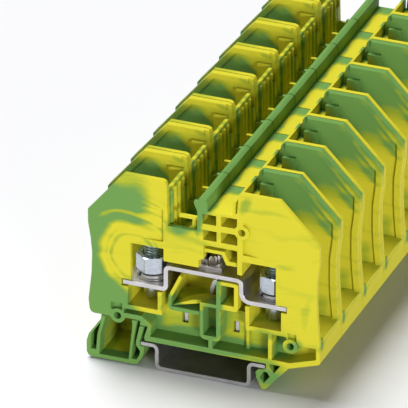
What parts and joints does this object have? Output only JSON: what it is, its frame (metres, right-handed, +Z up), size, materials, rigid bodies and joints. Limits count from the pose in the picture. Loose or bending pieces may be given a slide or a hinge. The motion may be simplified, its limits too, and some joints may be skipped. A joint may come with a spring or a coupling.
{
  "type": "din rail terminal block",
  "caption": "Row of two-stud protective earth terminal modules on a 35 mm top-hat rail, with sprung latch foot, raised busbars, M5 studs and nuts.",
  "frame": {"origin": "middle of the rail's underside, at the foot of the row", "axes": "+X to the right along a module, +Y along the rail away from the front module, +Z up from the rail"},
  "size_m": [0.066, 0.128, 0.057],
  "materials": {
    "housing_plastic": "moulded polyamide, bright yellow marbled with mid green, satin",
    "tinned_copper": "tin-plated copper strip, pale grey, satin",
    "zinc_plated_steel": "bright blue zinc plate on steel",
    "dark_thread": "passivated steel thread, dark grey",
    "galvanised_rail": "galvanised and passivated steel sheet"
  },
  "bodies": {
    "rail_row": {"din_rail": "galvanised_rail", "housing_2": "housing_plastic", "busbar_2": "tinned_copper", "left_stud_2": "dark_thread", "right_stud_2": "dark_thread", "housing_3": "housing_plastic", "busbar_3": "tinned_copper", "left_stud_3": "dark_thread", "right_stud_3": "dark_thread", "housing_4": "housing_plastic", "busbar_4": "tinned_copper", "left_stud_4": "dark_thread", "right_stud_4": "dark_thread", "housing_5": "housing_plastic", "busbar_5": "tinned_copper", "left_stud_5": "dark_thread", "right_stud_5": "dark_thread", "housing_6": "housing_plastic", "busbar_6": "tinned_copper", "left_stud_6": "dark_thread", "right_stud_6": "dark_thread", "housing_7": "housing_plastic", "busbar_7": "tinned_copper", "left_stud_7": "dark_thread", "right_stud_7": "dark_thread", "housing_8": "housing_plastic", "busbar_8": "tinned_copper", "left_stud_8": "dark_thread", "right_stud_8": "dark_thread"},
    "front_module": {"front_housing": "housing_plastic", "front_busbar": "tinned_copper", "front_left_stud": "dark_thread", "front_right_stud": "dark_thread", "front_contact_foot": "tinned_copper", "front_foot_screw": "zinc_plated_steel"},
    "front_latch_foot": {"front_latch_foot": "housing_plastic"},
    "front_left_washer": {"front_left_washer": "zinc_plated_steel"},
    "front_left_nut": {"front_left_nut": "zinc_plated_steel"},
    "front_right_washer": {"front_right_washer": "zinc_plated_steel"},
    "front_right_nut": {"front_right_nut": "zinc_plated_steel"},
    "left_nut_2": {"left_nut_2": "zinc_plated_steel"},
    "right_nut_2": {"right_nut_2": "zinc_plated_steel"},
    "left_nut_3": {"left_nut_3": "zinc_plated_steel"},
    "right_nut_3": {"right_nut_3": "zinc_plated_steel"},
    "left_nut_4": {"left_nut_4": "zinc_plated_steel"},
    "right_nut_4": {"right_nut_4": "zinc_plated_steel"},
    "left_nut_5": {"left_nut_5": "zinc_plated_steel"},
    "right_nut_5": {"right_nut_5": "zinc_plated_steel"},
    "left_nut_6": {"left_nut_6": "zinc_plated_steel"},
    "right_nut_6": {"right_nut_6": "zinc_plated_steel"},
    "left_nut_7": {"left_nut_7": "zinc_plated_steel"},
    "right_nut_7": {"right_nut_7": "zinc_plated_steel"},
    "left_nut_8": {"left_nut_8": "zinc_plated_steel"},
    "right_nut_8": {"right_nut_8": "zinc_plated_steel"}
  },
  "joints": [
    {"name": "front_module_slide", "type": "slide", "parent": "rail_row", "child": "front_module", "axis": [0, -1, 0], "range_m": [0, 0.02]},
    {"name": "front_latch_release", "type": "slide", "parent": "front_module", "child": "front_latch_foot", "axis": [-1, 0, 0], "range_m": [0, 0.0014], "stiffness_N_per_m": 300},
    {"name": "front_left_nut_lift", "type": "slide", "parent": "front_module", "child": "front_left_washer", "axis": [0, 0, 1], "range_m": [0, 0.008]},
    {"name": "front_left_nut_turn", "type": "hinge", "parent": "front_left_washer", "child": "front_left_nut", "pos_m": [-0.0164, -0.0576, 0.0249], "axis": [0, 0, 1], "range_deg": [0, 3601]},
    {"name": "front_right_nut_lift", "type": "slide", "parent": "front_module", "child": "front_right_washer", "axis": [0, 0, 1], "range_m": [0, 0.008]},
    {"name": "front_right_nut_turn", "type": "hinge", "parent": "front_right_washer", "child": "front_right_nut", "pos_m": [0.018, -0.0576, 0.0256], "axis": [0, 0, 1], "range_deg": [0, 3601]},
    {"name": "left_nut_2_turn", "type": "hinge", "parent": "rail_row", "child": "left_nut_2", "pos_m": [-0.0164, -0.0416, 0.0249], "axis": [0, 0, 1], "range_deg": [0, 90]},
    {"name": "right_nut_2_turn", "type": "hinge", "parent": "rail_row", "child": "right_nut_2", "pos_m": [0.018, -0.0416, 0.0256], "axis": [0, 0, 1], "range_deg": [0, 90]},
    {"name": "left_nut_3_turn", "type": "hinge", "parent": "rail_row", "child": "left_nut_3", "pos_m": [-0.0164, -0.0256, 0.0249], "axis": [0, 0, 1], "range_deg": [0, 90]},
    {"name": "right_nut_3_turn", "type": "hinge", "parent": "rail_row", "child": "right_nut_3", "pos_m": [0.018, -0.0256, 0.0256], "axis": [0, 0, 1], "range_deg": [0, 90]},
    {"name": "left_nut_4_turn", "type": "hinge", "parent": "rail_row", "child": "left_nut_4", "pos_m": [-0.0164, -0.0096, 0.0249], "axis": [0, 0, 1], "range_deg": [0, 90]},
    {"name": "right_nut_4_turn", "type": "hinge", "parent": "rail_row", "child": "right_nut_4", "pos_m": [0.018, -0.0096, 0.0256], "axis": [0, 0, 1], "range_deg": [0, 90]},
    {"name": "left_nut_5_turn", "type": "hinge", "parent": "rail_row", "child": "left_nut_5", "pos_m": [-0.0164, 0.0064, 0.0249], "axis": [0, 0, 1], "range_deg": [0, 90]},
    {"name": "right_nut_5_turn", "type": "hinge", "parent": "rail_row", "child": "right_nut_5", "pos_m": [0.018, 0.0064, 0.0256], "axis": [0, 0, 1], "range_deg": [0, 90]},
    {"name": "left_nut_6_turn", "type": "hinge", "parent": "rail_row", "child": "left_nut_6", "pos_m": [-0.0164, 0.0224, 0.0249], "axis": [0, 0, 1], "range_deg": [0, 90]},
    {"name": "right_nut_6_turn", "type": "hinge", "parent": "rail_row", "child": "right_nut_6", "pos_m": [0.018, 0.0224, 0.0256], "axis": [0, 0, 1], "range_deg": [0, 90]},
    {"name": "left_nut_7_turn", "type": "hinge", "parent": "rail_row", "child": "left_nut_7", "pos_m": [-0.0164, 0.0384, 0.0249], "axis": [0, 0, 1], "range_deg": [0, 90]},
    {"name": "right_nut_7_turn", "type": "hinge", "parent": "rail_row", "child": "right_nut_7", "pos_m": [0.018, 0.0384, 0.0256], "axis": [0, 0, 1], "range_deg": [0, 90]},
    {"name": "left_nut_8_turn", "type": "hinge", "parent": "rail_row", "child": "left_nut_8", "pos_m": [-0.0164, 0.0544, 0.0249], "axis": [0, 0, 1], "range_deg": [0, 90]},
    {"name": "right_nut_8_turn", "type": "hinge", "parent": "rail_row", "child": "right_nut_8", "pos_m": [0.018, 0.0544, 0.0256], "axis": [0, 0, 1], "range_deg": [0, 90]}
  ],
  "couplings": [
    {"joint": "front_left_nut_turn", "follows": "front_left_nut_lift", "rad_per_m": 7854},
    {"joint": "front_right_nut_turn", "follows": "front_right_nut_lift", "rad_per_m": 7854}
  ]
}
